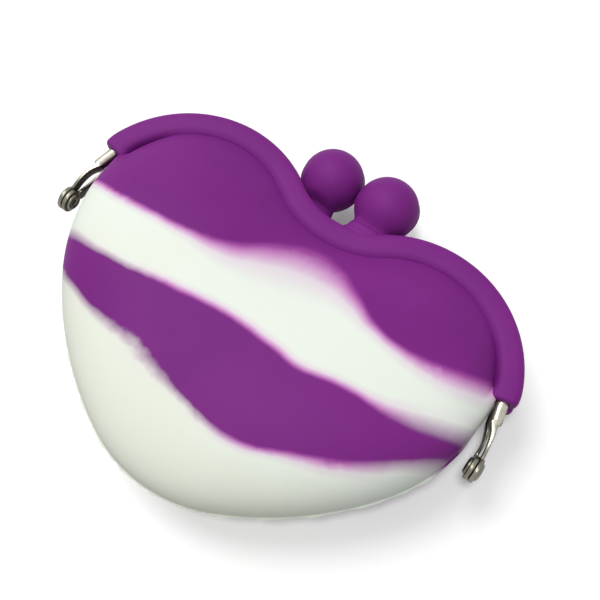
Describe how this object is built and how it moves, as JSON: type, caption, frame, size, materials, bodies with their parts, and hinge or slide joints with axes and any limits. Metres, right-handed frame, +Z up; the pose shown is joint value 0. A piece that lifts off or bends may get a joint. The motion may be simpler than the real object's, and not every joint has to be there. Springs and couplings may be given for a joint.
{
  "type": "squeeze coin purse",
  "caption": "Heart-shaped soft silicone purse whose framed mouth is held shut by a pair of clasp balls and opens on riveted hinges.",
  "frame": {"origin": "under the middle of the closed purse as it lies on its back, on the surface that it lies on", "axes": "+X along the hinge line, +Y from the toe of the heart towards the mouth and the clasp, +Z up, out of the front face"},
  "size_m": [0.1036, 0.0815, 0.0265],
  "materials": {
    "marbled_silicone": "matte, marbled in purple and white",
    "purple_silicone": "matte",
    "plated_steel": "bright nickel plating",
    "core_steel": "plain, hidden in the silicone"
  },
  "bodies": {
    "back_half": {"pouch_body": "marbled_silicone", "back_rim": "purple_silicone", "back_ball": "purple_silicone", "back_clasp_core": "core_steel", "back_frame": "plated_steel", "left_rivet": "plated_steel", "right_rivet": "plated_steel"},
    "front_half": {"front_panel": "marbled_silicone", "front_rim": "purple_silicone", "front_ball": "purple_silicone", "front_clasp_core": "core_steel", "front_frame": "plated_steel"}
  },
  "joints": [
    {"name": "frame_hinge", "type": "hinge", "parent": "back_half", "child": "front_half", "pos_m": [0, -0.00225, 0.013], "axis": [1, 0, 0], "range_deg": [0, 60]}
  ]
}
